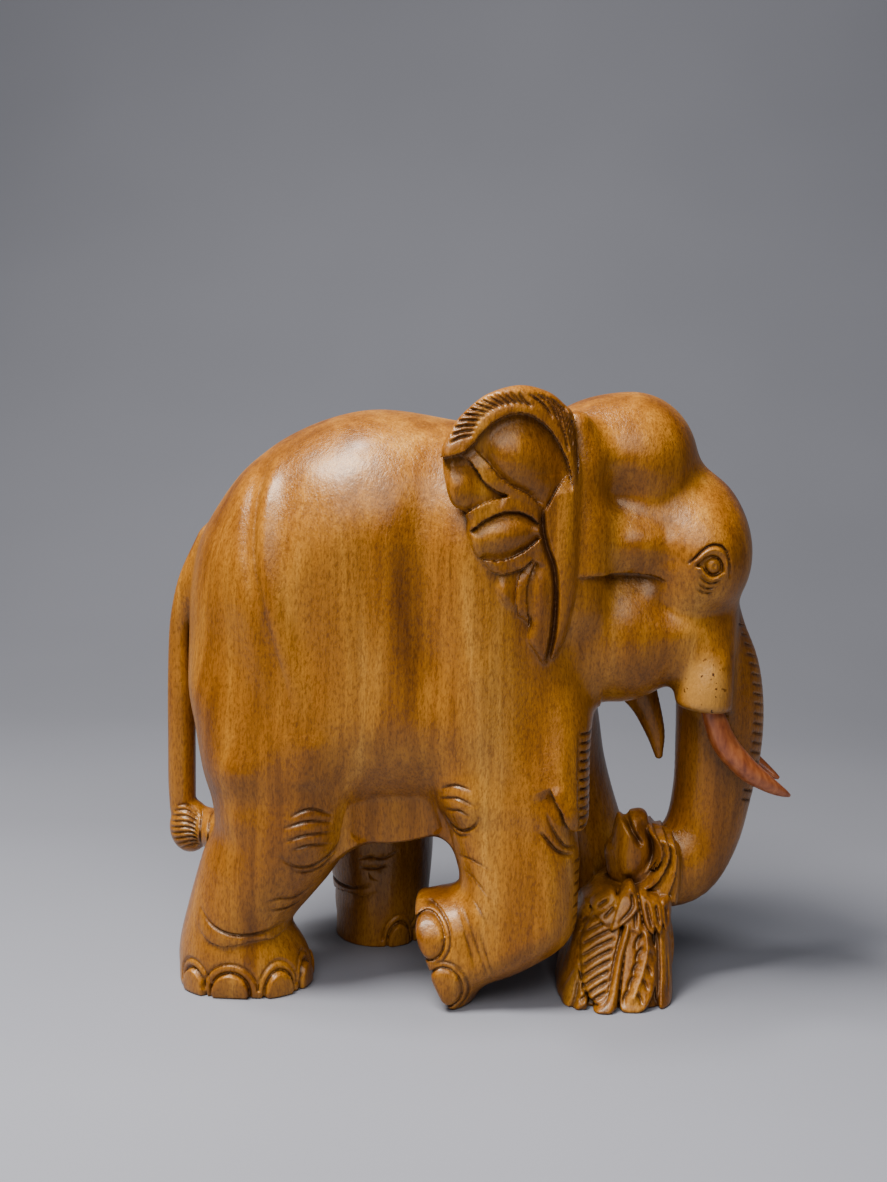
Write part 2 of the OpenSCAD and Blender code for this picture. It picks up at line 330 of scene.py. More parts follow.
class Relief:
    """Heights drawn on a side view, in mm over a grid of drawn x and z."""

    def __init__(self, block):
        self.x, self.z = block.axes[0].reshape(-1, 1), block.axes[2].reshape(1, -1)
        self.height = np.zeros((self.x.size, self.z.size), np.float32)
        self.cut = np.zeros_like(self.height)
        # Painted shade along the cuts: darkest in the grooves and on the low side of the ledges
        self.cut_shade = np.zeros_like(self.height)

    def part(self, points, margin):
        """The part of the map around some points, as a pair of slices."""
        low, high = np.min(points, axis=0) - margin, np.max(points, axis=0) + margin
        x, z = self.x[:, 0], self.z[0]
        return (slice(int(np.searchsorted(x, low[0])), int(np.searchsorted(x, high[0])) + 1),
                slice(int(np.searchsorted(z, low[1])), int(np.searchsorted(z, high[1])) + 1))

    def along(self, points, part, closed=False):
        """Distance to a smooth line, share of the way along it, and side: 1 on its right hand."""
        x, z = self.x[part[0]], self.z[:, part[1]]
        path = curve(points, closed, steps=5)
        best = np.full((x.size, z.size), 1e9, np.float32)
        share, side = np.zeros_like(best), np.ones_like(best)
        for i, ((ax, az), (bx, bz)) in enumerate(zip(path, path[1:])):
            ex, ez = bx - ax, bz - az
            t = np.clip(((x - ax) * ex + (z - az) * ez) / (ex * ex + ez * ez + 1e-9), 0, 1)
            gap = (x - ax - t * ex) ** 2 + (z - az - t * ez) ** 2
            closer = gap < best
            best = np.where(closer, gap, best)
            share = np.where(closer, (i + t) / (len(path) - 1), share)
            side = np.where(closer, np.sign((x - ax) * ez - (z - az) * ex), side)
        return np.sqrt(best), share, side

    @staticmethod
    def fade(share, taper):
        """1 along a line, falling to 0 over a share of its length at each end."""
        return np.clip(np.minimum(share, 1 - share) / taper, 0, 1)

    def groove(self, points, width=1.6, depth=1.0, taper=0.3, cut_shade=1.0, closed=False):
        """A V-tool cut along a line, shallower towards its ends, with shade painted along it."""
        part = self.part(points, width + 1)
        gap, share, _ = self.along(points, part, closed)
        profile = np.clip(1 - gap / (width / 2), 0, 1)
        ends = 1.0 if closed else self.fade(share, taper) ** 0.6
        self.cut[part] = np.maximum(self.cut[part], depth * profile * ends)
        # Painted shade along the bottom of the groove
        dark = np.clip(1.2 - gap / (width / 2), 0, 1) * ends * cut_shade
        self.cut_shade[part] = np.maximum(self.cut_shade[part], dark)

    def ledge(self, points, depth, run, side=1, taper=0.2, lip=0.0, cut_shade=0.6):
        """A drop on one side of a line that recovers over run mm, with a raised lip on the other, and shade
        painted along the foot of the drop.
        """
        part = self.part(points, 3.5 * run + 2)
        gap, share, sides = self.along(points, part)
        ends = self.fade(share, taper)
        low = sides * side > 0
        shape = np.where(low, -depth * np.exp(-(gap / run) ** 1.5), lip * np.exp(-(gap / run) ** 2))
        self.height[part] += shape * ends
        # Painted shade on the low side of the ledge, as under a step
        dark = np.where(low, np.exp(-gap / 0.7), 0) * ends * cut_shade
        self.cut_shade[part] = np.maximum(self.cut_shade[part], dark)

    def swell(self, points, width, height, taper=0.3):
        """A soft ridge along a line, or with a negative height a soft valley."""
        part = self.part(points, 2 * width)
        gap, share, _ = self.along(points, part)
        ends = self.fade(share, taper)
        ends = ends * ends * (3 - 2 * ends)
        self.height[part] += height * np.exp(-(gap / width) ** 2) * ends

    def bulge(self, centre, radii, height, tilt=0.0, plateau=False):
        """A soft bump, or a flat-topped one; with a negative height a hollow."""
        cos, sin = math.cos(math.radians(tilt)), math.sin(math.radians(tilt))
        dx, dz = self.x - centre[0], self.z - centre[1]
        size = ((dx * cos + dz * sin) / radii[0]) ** 2 + ((dz * cos - dx * sin) / radii[1]) ** 2
        if plateau:
            shape = np.clip((1 - np.sqrt(size)) * min(radii) / 1.2, 0, 1) * (1 - 0.25 * np.minimum(size, 1))
        else:
            shape = np.exp(-1.1 * size)
        self.height += height * shape.astype(np.float32)

    def sink(self, points, depth, edge=0.8):
        """A flat-bottomed hollow inside a closed outline."""
        part = self.part(points, 1)
        inside = inside_depth(self.x[part[0]], self.z[:, part[1]], curve(points, closed=True))
        self.height[part] -= depth * np.clip(inside / edge, 0, 1)

    def total(self):
        return self.height - self.cut


def heights_at(block, heights, x, z):
    """The part of a side-view map that lies under some x and z of the block."""
    i = np.searchsorted(block.axes[0], x[:, 0, 0])
    k = np.searchsorted(block.axes[2], z[0, 0])
    return heights[np.ix_(i, k)][:, None, :]


def press(block, relief, side):
    """Carve a side-view relief into one side of the block: -1 is the elephant's right."""
    # The relief fades in from the middle of the block outwards, over these mm
    start, full = 1.0, 7.0
    y = block.axes[1]
    rows = np.flatnonzero(side * y > start)
    weight = np.clip((side * y[rows] - start) / (full - start), 0, 1)
    rows = slice(rows[0], rows[-1] + 1)
    block.field[:, rows] -= relief.total()[:, None, :] * weight[None, :, None]


def moved(points, dx):
    """Side-view points moved forwards by dx mm."""
    return [(x + dx, z) for x, z in points]


def flank_cuts(relief):
    """The hip crease, and soft valleys and ridges behind the shoulder and along the belly."""
    hip = [(-82, 226), (-85.5, 217), (-87, 206), (-87, 188), (-83.5, 168), (-78.5, 149), (-73, 132),
           (-70, 116)]
    relief.groove(hip, 2.8, 0.9, taper=0.5, cut_shade=0.4)
    for dx, width, height in ((-3, 3.4, -1.0), (3.5, 3.4, 0.9), (-9, 6, 0.9), (12, 7, -1.6)):
        relief.swell(moved(hip, dx), width, height)
    for points, width, height in (
            ([(-14, 235), (-18, 205), (-19, 184), (-18, 160), (-15, 135), (-12, 98)], 10, -4.6),
            ([(-62, 228), (-66, 195), (-62, 160), (-54, 125)], 9, -0.9),
            ([(-40, 232), (-42, 195), (-40, 150), (-36, 110)], 8, -0.7),
            ([(4, 150), (6, 128), (8, 104)], 5, 0.8)):
        relief.swell(points, width, height)


def hind_leg_cuts(relief, dx):
    """Kneecap, shin and ankle wrinkles of a hind leg, moved by dx."""
    for x, z, radii, height in ((-63.5, 70, (12, 11), 1.8), (-93, 95, (9, 7), 1.2),
                                (-94, 74, (9, 6), 1.0), (-84, 84, (7, 13), -1.0)):
        relief.bulge((x + dx, z), radii, height)
    relief.swell(moved([(-63, 116), (-62, 100), (-62, 88)], dx), 7, 1.2)
    for points, width, depth in (
            ([(-71, 78.5), (-63, 81.5), (-54.5, 78)], 1.7, 1.2),
            ([(-74, 73.5), (-64, 76.5), (-54.5, 75)], 1.7, 1.2),
            ([(-73, 68), (-64, 71), (-53.5, 70.5)], 1.7, 1.2),
            ([(-70.5, 64.5), (-63, 66.5), (-54.5, 65.5)], 1.7, 1.2),
            ([(-76, 62), (-70, 57.5), (-63, 56.5), (-56.5, 60), (-50.5, 67)], 1.8, 1.2),
            ([(-72, 57.5), (-66, 54), (-59, 55.5), (-54, 60)], 1.6, 0.9),
            ([(-81.5, 41), (-76, 42.5), (-70, 42), (-63, 46)], 1.5, 0.9),
            ([(-81, 37.5), (-74, 37), (-67, 39.5)], 1.5, 0.9),
            ([(-110, 37), (-104, 31), (-97, 28), (-89, 27), (-82, 27.5), (-75, 29.5)], 2.0, 1.4)):
        relief.groove(moved(points, dx), width, depth)
    ankle = [(-111, 30), (-106, 24.5), (-100, 22.5), (-94, 23), (-86, 24.5), (-79, 24), (-72, 27)]
    relief.ledge(moved(ankle, dx), 1.0, 4, cut_shade=0.5)


def fore_leg_cuts(relief, dx):
    """Elbow wrinkles of a foreleg, moved by dx."""
    relief.bulge((-2.5 + dx, 85), (10, 9.5), 2.8)
    for points, width, depth in (
            ([(-10, 90.5), (-4, 93), (3, 91.5)], 1.6, 1.1),
            ([(-10.5, 86), (-3, 88), (4.5, 85)], 1.6, 1.1),
            ([(-8, 82), (-2, 83), (2.5, 80.5)], 1.6, 1.1),
            ([(-9.5, 80.5), (-5.5, 75.5), (-0.5, 74), (4, 76.5), (6.5, 80)], 2.0, 1.4),
            ([(-8, 77.5), (-3, 71.8), (3, 73)], 1.5, 0.8)):
        relief.groove(moved(points, dx), width, depth)


def lifted_leg_cuts(relief):
    """The near foreleg's flap, leg lines, nicked front edge and two nails."""
    relief.ledge([(34.5, 93), (37, 87.5), (39.6, 83), (41.8, 77.6), (45.2, 74.4), (53, 73.4)], 3.4, 5,
                 taper=0.12, lip=1.2, cut_shade=0.9)
    relief.bulge((45, 81), (5, 8), 1.4)
    relief.groove([(33, 83), (36, 76), (38.5, 71.5), (41.5, 67.8), (46.2, 66.2)], 1.8, 1.5)
    relief.groove([(31, 75), (33.5, 71.8), (38, 66.7), (44.5, 63.4)], 2.1, 1.9)
    for points in ([(-2.5, 62), (2, 62.5), (7, 61), (12, 58)], [(0, 57), (5, 54), (9, 50), (13, 45.5)],
                   [(3, 48), (7.5, 42.5), (11.5, 36)], [(0.5, 43), (4, 35), (8, 24), (12.5, 12)],
                   [(6.5, 36), (10.5, 25), (14, 14)], [(-1.5, 40), (3, 29), (6.5, 17)]):
        relief.groove(points, 1.4, 0.8, taper=0.5)
    relief.swell([(-4, 42), (4, 28), (11, 13)], 4, -0.8)
    # Flat strip down the front edge, crossed by short cuts
    relief.ledge([(45, 116), (45.5, 95), (46, 84), (47, 74)], 1.2, 2.5, side=-1, cut_shade=0.6)
    for i in range(11):
        z = 112.5 - 3.7 * i
        relief.groove([(46.3, z + 0.6), (49, z), (53, z - 0.9)], 1.2, 1.4, taper=0.12)
    for i in range(9):
        z = 60 - 4.6 * i
        relief.groove([(45.2, z + 0.8), (47.5, z - 0.4), (50, z - 1.2)], 1.1, 1.0, taper=0.15)
    # Nails: raised discs in a deep groove, each with a second arch round it
    for centre, radii, tilt in (((-13.6, 30.5), (6.2, 8.2), 8), ((-6.5, 10.5), (6.6, 8.0), 14)):
        relief.bulge(centre, radii, 0.8, tilt, plateau=True)
        relief.groove(ring(centre, (radii[0] + 0.6, radii[1] + 0.6), tilt), 1.3, 1.2, closed=True, cut_shade=0.7)
        relief.groove(ring(centre, (radii[0] + 3.2, radii[1] + 3.0), tilt, -75, 100), 1.3, 0.9, taper=0.15)


def ring(centre, radii, tilt=0.0, first=0, last=360):
    """Points of an ellipse in the side view, or of its arc between two angles."""
    whole = last - first >= 360
    angles = np.radians(np.linspace(first, last, 13)[:12 if whole else 13])
    u, v = radii[0] * np.cos(angles), radii[1] * np.sin(angles)
    cos, sin = math.cos(math.radians(tilt)), math.sin(math.radians(tilt))
    return [(centre[0] + a * cos - b * sin, centre[1] + a * sin + b * cos) for a, b in zip(u, v)]


def head_cuts(relief):
    """Temple, cheekbone, cheek crease, eye and the wrinkles round it."""
    relief.bulge((60, 213), (11, 9), -3.4)
    relief.ledge([(40, 177.2), (47, 178), (56, 178.5), (66, 178.6), (74, 178), (81, 175.5)], 1.9, 5.5,
                 lip=1.0, taper=0.3, cut_shade=0.35)
    relief.swell([(74, 172), (81, 164), (90, 161), (101, 162.5), (111, 166)], 5.5, -2.2)
    relief.swell([(80, 178), (80, 190), (80, 203)], 5, -1.2)
    relief.bulge((97, 183), (11, 10), 0.8)
    # Eye opening, an almond with a corner at the back, and the ball inside it
    relief.sink([(91, 182.6), (93, 184.6), (95.4, 187), (98.4, 187.7), (101, 186.6), (102.6, 184),
                 (103.4, 180.2), (102.2, 179.6), (100.2, 178.4), (98.2, 178), (96.4, 178.9),
                 (94.8, 180.4), (93.6, 182)], 2.4)
    relief.bulge((98.6, 182.8), (3.5, 3.5), 2.2, plateau=True)
    relief.groove(ring((98.7, 182.8), (2.0, 2.0)), 0.8, 0.5, closed=True, cut_shade=0.6)
    relief.bulge((98.8, 182.7), (0.9, 0.9), -0.9)
    # Lids: raised bands round the opening, with a deep crease over the upper one
    relief.swell([(89, 183.4), (92.3, 185.7), (96, 188.9), (99, 189.6), (102.3, 188.3), (104.2, 185),
                  (104.6, 178)], 0.9, 1.0, taper=0.12)
    relief.swell([(91.2, 181.2), (93.7, 181.6), (94.9, 179.6), (96.4, 178), (98.2, 177.2), (100.2, 177.7),
                  (102.2, 179)], 0.7, 0.9, taper=0.12)
    relief.groove([(88, 183.2), (90.9, 185.8), (93.9, 189), (96.8, 191), (99.3, 191.4), (101.9, 190.6),
                   (103.9, 188.2), (105.2, 184.1), (105.6, 177.5)], 1.5, 1.7, taper=0.12)
    # Wrinkles under the eye
    relief.groove([(93, 179.8), (94.2, 177.7), (96.8, 175.9), (100.3, 176.2), (102.5, 177.6)], 1.1, 1.1)
    relief.groove([(92.6, 176.4), (94.6, 174.3), (97.3, 173.4), (100.4, 174)], 1.2, 1.1)
    relief.groove([(92.1, 174), (93.8, 172.3), (97, 171.5), (99.8, 171.9)], 1.2, 0.9)
    # Strip of short oblique cuts down the front of the trunk
    for i in range(19):
        z = 154 - 4.2 * i
        edge = trunk_front(z)
        relief.groove([(edge - 5.2, z + 1.8), (edge - 2, z + 0.3), (edge + 3, z - 1.6)], 1.2, 1.1, taper=0.12)


def trunk_front(z):
    """The drawn x of the trunk's front edge at a height."""
    return float(np.interp(z, (60, 81, 94, 103, 121, 134, 145, 155, 162),
                           (119, 122.5, 124.5, 125.5, 125.8, 124, 121, 117.5, 115.5)))


# ---------------------------------------------------------------- ears

EAR_OUTLINE = [(18.8, 254.4), (6.8, 251), (-1.2, 245), (-6.8, 238.5), (-10.1, 231), (-11.2, 225),
               (-10.3, 217.5), (-7, 208), (-1.2, 203), (-0.3, 196), (2.2, 187.5), (9, 180),
               (10.7, 173), (16, 165), (23.5, 160), (23.4, 152.5), (27, 147), (31, 142), (37, 148),
               (41, 160), (43.5, 170), (44.5, 180), (44, 214), (42, 228), (40.4, 242.5),
               (36.7, 247), (30, 252)]


def ear_plane(x):
    """How far an ear's middle lies from the centre plane, at x."""
    return 42.8 + (42 - x) * 0.305


def ear_relief(block):
    """The carved face of an ear: rolled rim, veins, lobes and the hair cuts on the rim."""
    relief = Relief(block)
    # The rolled rim, and the deep recess under it
    rim = [(-13, 225.3), (-10, 225.8), (-3.5, 227.6), (1, 231.2), (5.3, 236.8), (11.3, 241.4), (18.2, 243.5),
           (24.2, 242.5), (30.3, 238), (34.4, 232.6), (37.5, 226.7), (39.6, 220.7), (41, 212.5)]
    relief.ledge(rim, 5.4, 7.0, taper=0.09, lip=1.4, cut_shade=1.0)
    # Veins: raised bands, with the leaf of the ear dropping away on each side
    for points, depth, side in (
            ([(1, 230), (6.5, 224.3), (11.6, 218.3), (16.7, 214.4), (22.7, 211.4), (29, 206.3)], 2.6, -1),
            ([(-4.5, 227), (-1, 225), (3, 220.7), (5.6, 216.7), (10.7, 212.8), (15.2, 211.1)], 2.4, 1),
            ([(15.7, 210.3), (11.7, 209.9), (6.8, 208.2), (2.3, 206.1), (-3, 202.3)], 1.8, 1),
            ([(29, 198.8), (22.8, 203.6), (16.8, 205), (11.8, 204.1), (5.9, 201.2), (0, 196.5)], 2.8, -1),
            ([(4, 185.7), (12, 185), (19, 187.1), (24, 190.2), (29, 194.6)], 2.8, -1),
            ([(6, 181.9), (12.2, 180), (17.2, 180.5), (22.2, 182.6), (25.5, 186)], 2.2, 1),
            ([(21.6, 181), (20.2, 178.3), (19.3, 171.3), (20.2, 160)], 1.5, 1),
            ([(26.8, 185), (24.2, 178.4), (23.3, 171.3), (24.6, 157)], 1.5, -1)):
        relief.ledge(points, depth, 3.4, side=side, taper=0.08, lip=0.5, cut_shade=0.4 * depth)
    # Rounded lobes between the veins
    relief.bulge((20, 226), (12, 10), 2.0, tilt=-25)
    relief.bulge((-3, 215), (5, 9), 1.4)
    relief.bulge((15.5, 195), (11.5, 6.5), 2.0)
    relief.bulge((15, 171.5), (3, 7), 1.2)
    relief.bulge((29.5, 171), (3.6, 15), 1.4)
    # The deep main vein down to the tip, and the flat-faced panel in front of it
    relief.groove([(28.8, 206), (29.3, 197), (31.1, 189.5), (34, 181.6), (35, 172), (34.8, 162), (34, 153),
                   (31.8, 143)], 3.4, 3.8, taper=0.08)
    relief.groove([(28.6, 204), (29.6, 196), (32.2, 187)], 3.8, 2.6, taper=0.25)
    relief.ledge([(29.4, 203), (31.8, 208), (34.4, 213), (37.0, 217.0), (39.6, 219.5)], 2.6, 2.6, side=-1,
                 taper=0.2, cut_shade=0.9)
    relief.bulge((38.8, 186), (4, 27), 1.6)
    # Hair cuts: oblique across the rim at the back and top, along it at the front
    for i in range(13):
        turn = math.radians(172 - 7.3 * i)
        line = [(16 + (26.5 - inset) * math.cos(turn - swing), 228 + (26 - inset) * math.sin(turn - swing))
                for inset, swing in ((2.2, 0.0), (5.6, 0.14), (10.0 - 0.3 * i, 0.29))]
        relief.groove(line, 1.9, 1.6, taper=0.25, cut_shade=0.9)
    for line in ([(22, 251.2), (28, 247), (32, 241.5)], [(24.5, 251.5), (31, 247), (35, 239.5)],
                 [(27.5, 251), (33.2, 246), (36.6, 237.5)], [(30.5, 250), (35.4, 244.5), (38.3, 234.5)],
                 [(33.2, 248.3), (37.3, 242), (39.6, 230)], [(36, 246.5), (39, 239), (40.6, 226)],
                 [(38.6, 243.5), (40.6, 235), (41.8, 221)], [(34.5, 241), (37, 235), (38.7, 228)],
                 [(40.3, 240), (41.9, 230), (42.8, 215)]):
        relief.groove(line, 1.5, 1.5, taper=0.2, cut_shade=0.9)
    return relief


def ears(block):
    """Both ears, slanting outwards to the back, with the same carved face."""
    low, high, flat_ear = pillow(EAR_OUTLINE, 0, 4.7, 3.8, soft=0.8)
    block.ear_relief = ear_relief(block)
    heights = block.ear_relief.total()
    for side in (-1, 1):
        def placed(x, y, z, side=side):
            lift = side * y - ear_plane(x)
            part = heights_at(block, heights, x, z)
            return flat_ear(x, lift / 1.06, z) - part * np.clip(0.5 + lift / 3, 0, 1)
        block.add(ball((32, side * 34, 205), (16, 12, 38)), 5)
        corners = sorted([side * 36, side * 69])
        block.add(([low[0], corners[0], low[2]], [high[0], corners[1], high[2]], placed), 1.0)


# ---------------------------------------------------------------- feet, tail, trunk tip and leaves

def nails(block, centre, radii, angles):
    """Carved nails round a standing foot: raised discs in a groove under a second arch.

    Each nail is an angle in degrees round the foot, 0 towards the face and -90 towards the right
    side, and half its width.
    """
    height, arch_size = 9.0, 1.42
    low = [centre[0] - radii[0] - 5, centre[1] - radii[1] - 5, -2]
    high = [centre[0] + radii[0] + 5, centre[1] + radii[1] + 5, 24]
    spans, x, y, z = block.window(low, high, 0)
    turn = np.degrees(np.arctan2((y - centre[1]) / radii[1], (x - centre[0]) / radii[0]))
    field = block.field[spans]
    for angle, half_width in angles:
        across = (turn - angle + 180) % 360 - 180
        u = across * (math.pi / 180) * sum(radii) / 2 / half_width
        size = np.sqrt(u * u + ((z - 2) / height) ** 2)
        gap = np.abs(size - 1) * min(half_width, height)
        arch = np.abs(size - arch_size) * min(half_width, height)
        field += 1.7 * np.clip(1 - gap / 0.95, 0, 1)
        field += 1.1 * np.clip(1 - arch / 0.8, 0, 1) * (z > 3)
        field -= 1.2 * np.clip((1 - size) * 6, 0, 1)


def tuft_cuts(relief):
    """Hair lines of the tail tuft, gathered at the tie."""
    middle_z = 57
    for i in range(9):
        z = 46.5 + 2.55 * i
        far = (-133.5 + 0.12 * (z - middle_z) ** 2 * 0.3, z + 0.5)
        tie = (-118.5, middle_z + (z - middle_z) * 0.55)
        relief.groove([far, (-125.5, z + 1.8 + 0.1 * (middle_z - z)), tie], 1.4, 1.3, taper=0.2)
    relief.groove([(-119.5, 67), (-118, 61), (-117.8, 55), (-119, 48)], 1.8, 1.8)
    relief.groove([(-114, 68), (-112.8, 60), (-113, 52)], 1.5, 1.2)


def carved(block, shape, relief, centre_y):
    """A shape with a side-view relief pressed into both of its sides."""
    low, high, distance = shape
    heights = relief.total()

    def cut(x, y, z):
        part = heights_at(block, heights, x, z)
        return distance(x, y, z) - part * np.clip(np.abs(y - centre_y) / 4, 0, 1)
    return low, high, cut


def collar(block):
    """The gathered band round the end of the trunk."""
    relief = Relief(block)
    for line, depth in (([(78, 69), (82.7, 61.6), (82.5, 55.4), (78.5, 49.2), (70, 43)], 1.5),
                        ([(83.5, 67), (86.1, 59.1), (84.7, 52), (79.9, 44.4), (72.5, 40.5)], 2.2),
                        ([(87.6, 65), (89.4, 55.1), (88.4, 48), (86.5, 41.8), (84.5, 36)], 1.8)):
        relief.ledge(line, depth, 2.4, side=-1, taper=0.08, lip=0.7, cut_shade=0.9)
    relief.groove([(81.5, 58), (80.5, 53), (76.5, 47), (71.5, 43.2)], 1.2, 0.9)
    band = pillow([(77, 67.5), (84.9, 66), (90.2, 63), (92.7, 57), (92.8, 48), (91.8, 39), (90.5, 34),
                   (86, 35), (80, 35.5), (74, 37.5), (68.5, 42.3), (74.6, 45.6), (78.6, 51.4), (79.8, 56.5),
                   (79, 62)], -9, 16.5, 3.2, soft=0.8)
    block.add(carved(block, band, relief, -9), 0.5)
    return relief


def trunk_tip(block):
    """The end of the trunk: a full bud of two lobes with a notch between them."""
    relief = Relief(block)
    relief.groove([(66.5, 75), (68.5, 70), (71, 65), (74.5, 60)], 3.6, 3.2, taper=0.15, cut_shade=0.7)
    relief.bulge((73.8, 69), (2.2, 4.5), -1.2, tilt=15)
    bud = pillow([(64.2, 71.5), (62, 61), (61.6, 52.6), (63, 46.5), (66, 43), (71, 41), (77, 46), (80, 53),
                  (80, 60), (78, 67.5), (77, 72), (74.1, 74), (70, 73.2), (67.5, 71)], -10, 11.5, 9, soft=0.8)
    block.add(carved(block, bud, relief, -10), 1.0)
    return relief


def leaf(block, root, tip, outward, half_width):
    """A leaf blade from root to tip, facing outward, with a raised midrib and oblique ribs."""
    bow, ribs, thick = 3.0, 9, 1.7
    root, tip = np.array(root, float), np.array(tip, float)
    length = np.linalg.norm(tip - root)
    down = (tip - root) / length
    face = np.array(outward, float)
    face -= down * face.dot(down)
    face /= np.linalg.norm(face)
    aside = np.cross(face, down)
    reach = half_width + 3
    low, high = np.minimum(root, tip) - reach, np.maximum(root, tip) + reach

    def distance(x, y, z):
        dx, dy, dz = x - root[0], y - root[1], z - root[2]
        s = dx * down[0] + dy * down[1] + dz * down[2]
        u = dx * aside[0] + dy * aside[1] + dz * aside[2]
        n = dx * face[0] + dy * face[1] + dz * face[2]
        share = np.clip(s / length, 0, 1)
        outline = np.sin(math.pi * np.clip(0.10 + 0.86 * share, 0, 1)) ** 0.6
        half = half_width * outline + 0.2
        across = np.abs(u) / half
        middle = bow * np.sin(math.pi * share) - 0.10 * np.abs(u) - 0.9 * across ** 2
        phase = (s - 0.75 * np.abs(u)) * ribs / length
        scoop = 0.65 * (0.5 + 0.5 * np.cos(2 * math.pi * phase)) ** 2 * (across < 0.9) * (np.abs(u) > 1.3)
        rib = 1.1 * np.exp(-(u / 1.5) ** 2) * (1.05 - share)
        thickness = thick * np.sqrt(np.clip(1 - across ** 2, 0, 1)) + rib
        thickness = thickness - scoop * min(2 * half_width, 12) / 12
        edge = (across - 1) * half * 0.8
        ends = np.maximum(-s, s - length)
        return np.maximum(np.maximum(np.abs(n - middle) - thickness, edge), ends)
    block.add((low, high, distance), 0.4)


# The top of the leaf bunch, and how steeply its field rises for each mm outside it
BUNCH_TOP, BUNCH_SLOPE = 42, 0.75


def bunch_point(angle, z):
    """A point on the outside of the leaf bunch, at an angle round it and a height."""
    share = np.clip(z / 48, 0, 1)
    centre = (63 + 9 * share, -20 + 9 * share)
    radii = (21 - 9 * share, 35.5 - 21 * share)
    turn = math.radians(angle)
    place = np.array((centre[0] + radii[0] * math.cos(turn), centre[1] + radii[1] * math.sin(turn), z))
    outward = np.array((math.cos(turn) / radii[0], math.sin(turn) / radii[1], 0))
    outward /= np.linalg.norm(outward)
    return place, outward + (0, 0, 0.5)


def outside_bunch(x, y, z):
    """How far each point stands outside the two sides of the leaf bunch."""
    share = np.clip(z / BUNCH_TOP, 0, 1)
    centre, half = 64 + 2 * share + 6 * share ** 4, 25 - 4 * share - 4 * share ** 4
    across = np.abs(x - centre) / half
    face = (33.5 - 17 * share) * np.clip(1 - across ** 3.4, 0.0, 1) ** (1 / 3.4)
    # Past the ends of the bunch its sides lie behind its middle
    face = face - half * np.clip(across - 0.98, 0, 10)
    middle = -21 + 9 * share
    return np.abs(y - middle) - face


def blade(block, outline, lift, relief, rounding=1.5):
    """A leaf that lies on both sides of the bunch, standing up from it by lift mm."""
    outline = curve(outline, closed=True, steps=4)
    low = [outline[:, 0].min(), -66, outline[:, 1].min()]
    high = [outline[:, 0].max(), 24, outline[:, 1].max()]
    heights = relief.total()

    def distance(x, y, z):
        depth = soften(inside_depth(x[:, :, 0], z[0], outline), 0.6 / VOXEL)
        edge = np.clip(1 - depth / rounding, 0, 1)
        top = (lift * np.sqrt(1 - edge ** 2))[:, None, :] + heights_at(block, heights, x, z)
        above = outside_bunch(x, y, z)
        solid = np.maximum(above - top, -depth[:, None, :])
        return BUNCH_SLOPE * np.maximum(solid, -7 - above)
    block.add((low, high, distance), 0.3)


def leaf_cuts(block):
    """Ribs, midribs and folds of the long leaves, seen from the side."""
    relief = Relief(block)
    # The big ribbed leaf
    for i in range(9):
        z = 0.5 + 3.75 * i
        middle = float(np.interp(z + 5, (-3, 5, 13, 25, 36), (56, 60, 61.6, 63.4, 64.5)))
        relief.groove([(48.5, z - 1), ((48.5 + middle) / 2, z + 3.6), (middle, z + 7)], 2.1, 1.8, taper=0.12,
                      cut_shade=0.8)
    relief.groove([(66.4, 30), (63.8, 22), (61.8, 13), (60.2, 5), (57, -2)], 1.6, 1.2, taper=0.1)
    # The scooped leaf: a curved midrib with scoops on both sides of it
    relief.swell([(76, 30), (76.6, 22), (74, 13), (69.5, 3)], 1.2, 1.4, taper=0.1)
    for i in range(5):
        z = 26 - 4.9 * i
        x = float(np.interp(z, (3, 13, 22, 30), (69.5, 74, 76.6, 76)))
        relief.groove([(x - 1.2, z + 2.2), (x - 3.6, z - 0.4), (x - 4.6, z - 4.2)], 2.6, 2.2, cut_shade=0.8)
        relief.groove([(x + 1.0, z + 1.0), (x + 2.6, z - 1.2), (x + 3.2, z - 3.6)], 2.0, 1.7, cut_shade=0.8)
    # The folds that part the narrow leaves at the front and back
    relief.groove([(81, 28), (81.6, 14), (80.9, 0)], 2.4, 2.6, taper=0.08)
    relief.groove([(85, 24), (85.6, 12), (85, 2)], 1.0, 0.9)
    relief.groove([(48.4, 11), (47.2, 4), (44.3, -3)], 2.6, 2.0, taper=0.15)
    relief.groove([(46, 33), (44.5, 22), (42.5, 10)], 1.6, 1.4)
    return relief


